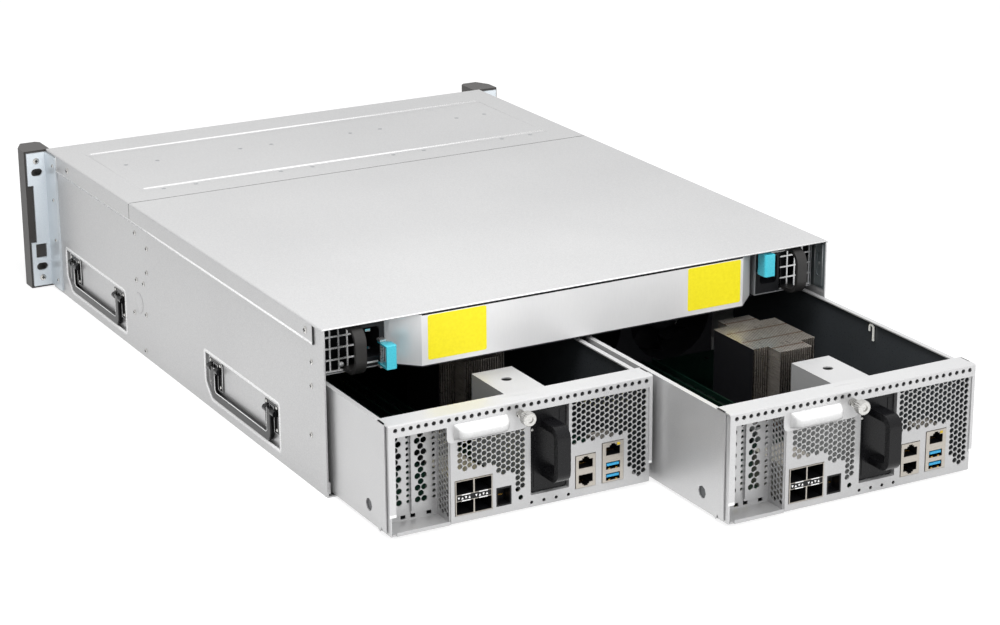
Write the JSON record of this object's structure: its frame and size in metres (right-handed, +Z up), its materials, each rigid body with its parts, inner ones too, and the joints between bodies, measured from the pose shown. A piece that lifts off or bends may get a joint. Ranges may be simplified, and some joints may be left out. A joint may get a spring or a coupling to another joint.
{
  "type": "rackmount storage server",
  "caption": "Flat rack-mount storage server with slide-out controllers and power supplies at the rear, drive trays at the front, rack ears and fold-out side carry handles.",
  "frame": {"origin": "middle of the chassis underside", "axes": "+Z up, +Y towards the rear with the controllers, +X the right-hand side seen from the front"},
  "size_m": [0.486, 0.8356, 0.132],
  "materials": {
    "zinc_sheet": "satin zinc-plated sheet",
    "inner_sheet": "zinc-plated sheet, inner",
    "ear_steel": "bluish zinc plate",
    "cap_plastic": "black moulded plastic",
    "circuit_board": "green solder-masked board",
    "nickel_steel": "bright nickel plate",
    "screw_steel": "bright zinc screw",
    "psu_steel": "plain zinc case",
    "black_strap": "black strap",
    "cyan_plastic": "cyan moulded plastic",
    "canister_sheet": "satin zinc-plated sheet",
    "panel_sheet": "pale zinc-plated sheet",
    "lever_sheet": "pale zinc-plated sheet",
    "bronze_fins": "dark bronze fins",
    "fan_plastic": "black fan plastic",
    "battery_plastic": "black battery pack",
    "tray_plastic": "dark grey tray bezel",
    "button_plastic": "grey button"
  },
  "bodies": {
    "chassis": {"chassis_tub": "zinc_sheet", "top_cover_front": "zinc_sheet", "top_cover_rear": "zinc_sheet", "rack_ear_left": "ear_steel", "rack_ear_right": "ear_steel", "ear_cap_left": "cap_plastic", "ear_cap_right": "cap_plastic", "drive_cage": "inner_sheet", "midplane_board": "circuit_board", "rear_crossbeam": "zinc_sheet", "bay_partition": "inner_sheet", "handle_plates": "nickel_steel", "case_screws": "screw_steel"},
    "carry_handle_right_rear": {"carry_handle_right_rear": "nickel_steel"},
    "carry_handle_right_front": {"carry_handle_right_front": "nickel_steel"},
    "carry_handle_left_rear": {"carry_handle_left_rear": "nickel_steel"},
    "carry_handle_left_front": {"carry_handle_left_front": "nickel_steel"},
    "psu_a": {"psu_a_case": "psu_steel", "psu_a_handle": "black_strap"},
    "psu_a_latch": {"psu_a_latch": "cyan_plastic"},
    "psu_b": {"psu_b_case": "psu_steel", "psu_b_handle": "black_strap"},
    "psu_b_latch": {"psu_b_latch": "cyan_plastic"},
    "controller_a": {"controller_a_case": "canister_sheet", "controller_a_rear_panel": "panel_sheet", "controller_a_mainboard": "circuit_board", "controller_a_heatsink": "bronze_fins", "controller_a_fan_bank": "fan_plastic"},
    "controller_a_lever": {"controller_a_lever": "lever_sheet"},
    "controller_a_thumbscrew": {"controller_a_thumbscrew": "screw_steel"},
    "controller_a_battery": {"controller_a_battery": "battery_plastic"},
    "controller_a_fan_rotor_1": {"controller_a_fan_rotor_1": "fan_plastic"},
    "controller_a_fan_rotor_2": {"controller_a_fan_rotor_2": "fan_plastic"},
    "controller_b": {"controller_b_case": "canister_sheet", "controller_b_rear_panel": "panel_sheet", "controller_b_mainboard": "circuit_board", "controller_b_heatsink": "bronze_fins", "controller_b_fan_bank": "fan_plastic"},
    "controller_b_lever": {"controller_b_lever": "lever_sheet"},
    "controller_b_thumbscrew": {"controller_b_thumbscrew": "screw_steel"},
    "controller_b_battery": {"controller_b_battery": "battery_plastic"},
    "controller_b_fan_rotor_1": {"controller_b_fan_rotor_1": "fan_plastic"},
    "controller_b_fan_rotor_2": {"controller_b_fan_rotor_2": "fan_plastic"},
    "drive_tray_01": {"drive_tray_01": "tray_plastic"},
    "drive_tray_02": {"drive_tray_02": "tray_plastic"},
    "drive_tray_03": {"drive_tray_03": "tray_plastic"},
    "drive_tray_04": {"drive_tray_04": "tray_plastic"},
    "drive_tray_05": {"drive_tray_05": "tray_plastic"},
    "drive_tray_06": {"drive_tray_06": "tray_plastic"},
    "drive_tray_07": {"drive_tray_07": "tray_plastic"},
    "drive_tray_08": {"drive_tray_08": "tray_plastic"},
    "drive_tray_09": {"drive_tray_09": "tray_plastic"},
    "drive_tray_10": {"drive_tray_10": "tray_plastic"},
    "drive_tray_11": {"drive_tray_11": "tray_plastic"},
    "drive_tray_12": {"drive_tray_12": "tray_plastic"},
    "drive_tray_13": {"drive_tray_13": "tray_plastic"},
    "drive_tray_14": {"drive_tray_14": "tray_plastic"},
    "drive_tray_15": {"drive_tray_15": "tray_plastic"},
    "drive_tray_16": {"drive_tray_16": "tray_plastic"},
    "power_button": {"power_button": "button_plastic"}
  },
  "joints": [
    {"name": "carry_handle_right_rear_hinge", "type": "hinge", "parent": "chassis", "child": "carry_handle_right_rear", "pos_m": [0.2215, 0.137, 0.036], "axis": [0, -1, 0], "range_deg": [0, 90]},
    {"name": "carry_handle_right_front_hinge", "type": "hinge", "parent": "chassis", "child": "carry_handle_right_front", "pos_m": [0.2215, -0.183, 0.036], "axis": [0, -1, 0], "range_deg": [0, 90]},
    {"name": "carry_handle_left_rear_hinge", "type": "hinge", "parent": "chassis", "child": "carry_handle_left_rear", "pos_m": [-0.2215, 0.137, 0.036], "axis": [0, 1, 0], "range_deg": [0, 90]},
    {"name": "carry_handle_left_front_hinge", "type": "hinge", "parent": "chassis", "child": "carry_handle_left_front", "pos_m": [-0.2215, -0.183, 0.036], "axis": [0, 1, 0], "range_deg": [0, 90]},
    {"name": "psu_a_slide", "type": "slide", "parent": "chassis", "child": "psu_a", "axis": [0, 1, 0], "range_m": [0, 0.3]},
    {"name": "psu_a_latch_hinge", "type": "hinge", "parent": "psu_a", "child": "psu_a_latch", "pos_m": [0.1685, 0.2798, 0.1005], "axis": [0, 0, -1], "range_deg": [0, 8], "stiffness_Nm_per_rad": 0.05},
    {"name": "psu_b_slide", "type": "slide", "parent": "chassis", "child": "psu_b", "axis": [0, 1, 0], "range_m": [0, 0.3]},
    {"name": "psu_b_latch_hinge", "type": "hinge", "parent": "psu_b", "child": "psu_b_latch", "pos_m": [-0.1685, 0.2798, 0.1186], "axis": [0, 0, 1], "range_deg": [0, 8], "stiffness_Nm_per_rad": 0.05},
    {"name": "controller_a_slide", "type": "slide", "parent": "chassis", "child": "controller_a", "axis": [0, 1, 0], "range_m": [-0.0975, 0.2325]},
    {"name": "controller_a_lever_hinge", "type": "hinge", "parent": "controller_a", "child": "controller_a_lever", "pos_m": [0.1101, 0.3785, 0.012], "axis": [-1, 0, 0], "range_deg": [0, 60]},
    {"name": "controller_a_thumbscrew_turn", "type": "hinge", "parent": "controller_a_lever", "child": "controller_a_thumbscrew", "pos_m": [0.1136, 0.3905, 0.0785], "axis": [0, 1, 0], "continuous": true},
    {"name": "controller_a_battery_slide", "type": "slide", "parent": "controller_a", "child": "controller_a_battery", "axis": [0, -1, 0], "range_m": [-0.08, 0]},
    {"name": "controller_a_fan_rotor_1_spin", "type": "hinge", "parent": "controller_a", "child": "controller_a_fan_rotor_1", "pos_m": [0.06709, 0.048, 0.04401], "axis": [0, 1, 0], "continuous": true},
    {"name": "controller_a_fan_rotor_2_spin", "type": "hinge", "parent": "controller_a", "child": "controller_a_fan_rotor_2", "pos_m": [0.15311, 0.048, 0.04401], "axis": [0, 1, 0], "continuous": true},
    {"name": "controller_b_slide", "type": "slide", "parent": "chassis", "child": "controller_b", "axis": [0, 1, 0], "range_m": [-0.1964, 0.1336]},
    {"name": "controller_b_lever_hinge", "type": "hinge", "parent": "controller_b", "child": "controller_b_lever", "pos_m": [-0.1101, 0.4774, 0.012], "axis": [-1, 0, 0], "range_deg": [0, 60]},
    {"name": "controller_b_thumbscrew_turn", "type": "hinge", "parent": "controller_b_lever", "child": "controller_b_thumbscrew", "pos_m": [-0.1066, 0.4894, 0.0785], "axis": [0, 1, 0], "continuous": true},
    {"name": "controller_b_battery_slide", "type": "slide", "parent": "controller_b", "child": "controller_b_battery", "axis": [0, -1, 0], "range_m": [-0.08, 0]},
    {"name": "controller_b_fan_rotor_1_spin", "type": "hinge", "parent": "controller_b", "child": "controller_b_fan_rotor_1", "pos_m": [-0.15311, 0.1469, 0.04401], "axis": [0, 1, 0], "continuous": true},
    {"name": "controller_b_fan_rotor_2_spin", "type": "hinge", "parent": "controller_b", "child": "controller_b_fan_rotor_2", "pos_m": [-0.06709, 0.1469, 0.04401], "axis": [0, 1, 0], "continuous": true},
    {"name": "drive_tray_01_slide", "type": "slide", "parent": "chassis", "child": "drive_tray_01", "axis": [0, -1, 0], "range_m": [0, 0.18]},
    {"name": "drive_tray_02_slide", "type": "slide", "parent": "chassis", "child": "drive_tray_02", "axis": [0, -1, 0], "range_m": [0, 0.18]},
    {"name": "drive_tray_03_slide", "type": "slide", "parent": "chassis", "child": "drive_tray_03", "axis": [0, -1, 0], "range_m": [0, 0.18]},
    {"name": "drive_tray_04_slide", "type": "slide", "parent": "chassis", "child": "drive_tray_04", "axis": [0, -1, 0], "range_m": [0, 0.18]},
    {"name": "drive_tray_05_slide", "type": "slide", "parent": "chassis", "child": "drive_tray_05", "axis": [0, -1, 0], "range_m": [0, 0.18]},
    {"name": "drive_tray_06_slide", "type": "slide", "parent": "chassis", "child": "drive_tray_06", "axis": [0, -1, 0], "range_m": [0, 0.18]},
    {"name": "drive_tray_07_slide", "type": "slide", "parent": "chassis", "child": "drive_tray_07", "axis": [0, -1, 0], "range_m": [0, 0.18]},
    {"name": "drive_tray_08_slide", "type": "slide", "parent": "chassis", "child": "drive_tray_08", "axis": [0, -1, 0], "range_m": [0, 0.18]},
    {"name": "drive_tray_09_slide", "type": "slide", "parent": "chassis", "child": "drive_tray_09", "axis": [0, -1, 0], "range_m": [0, 0.18]},
    {"name": "drive_tray_10_slide", "type": "slide", "parent": "chassis", "child": "drive_tray_10", "axis": [0, -1, 0], "range_m": [0, 0.18]},
    {"name": "drive_tray_11_slide", "type": "slide", "parent": "chassis", "child": "drive_tray_11", "axis": [0, -1, 0], "range_m": [0, 0.18]},
    {"name": "drive_tray_12_slide", "type": "slide", "parent": "chassis", "child": "drive_tray_12", "axis": [0, -1, 0], "range_m": [0, 0.18]},
    {"name": "drive_tray_13_slide", "type": "slide", "parent": "chassis", "child": "drive_tray_13", "axis": [0, -1, 0], "range_m": [0, 0.18]},
    {"name": "drive_tray_14_slide", "type": "slide", "parent": "chassis", "child": "drive_tray_14", "axis": [0, -1, 0], "range_m": [0, 0.18]},
    {"name": "drive_tray_15_slide", "type": "slide", "parent": "chassis", "child": "drive_tray_15", "axis": [0, -1, 0], "range_m": [0, 0.18]},
    {"name": "drive_tray_16_slide", "type": "slide", "parent": "chassis", "child": "drive_tray_16", "axis": [0, -1, 0], "range_m": [0, 0.18]},
    {"name": "power_button_press", "type": "slide", "parent": "chassis", "child": "power_button", "axis": [0, 1, 0], "range_m": [0, 0.0012], "stiffness_N_per_m": 400}
  ]
}
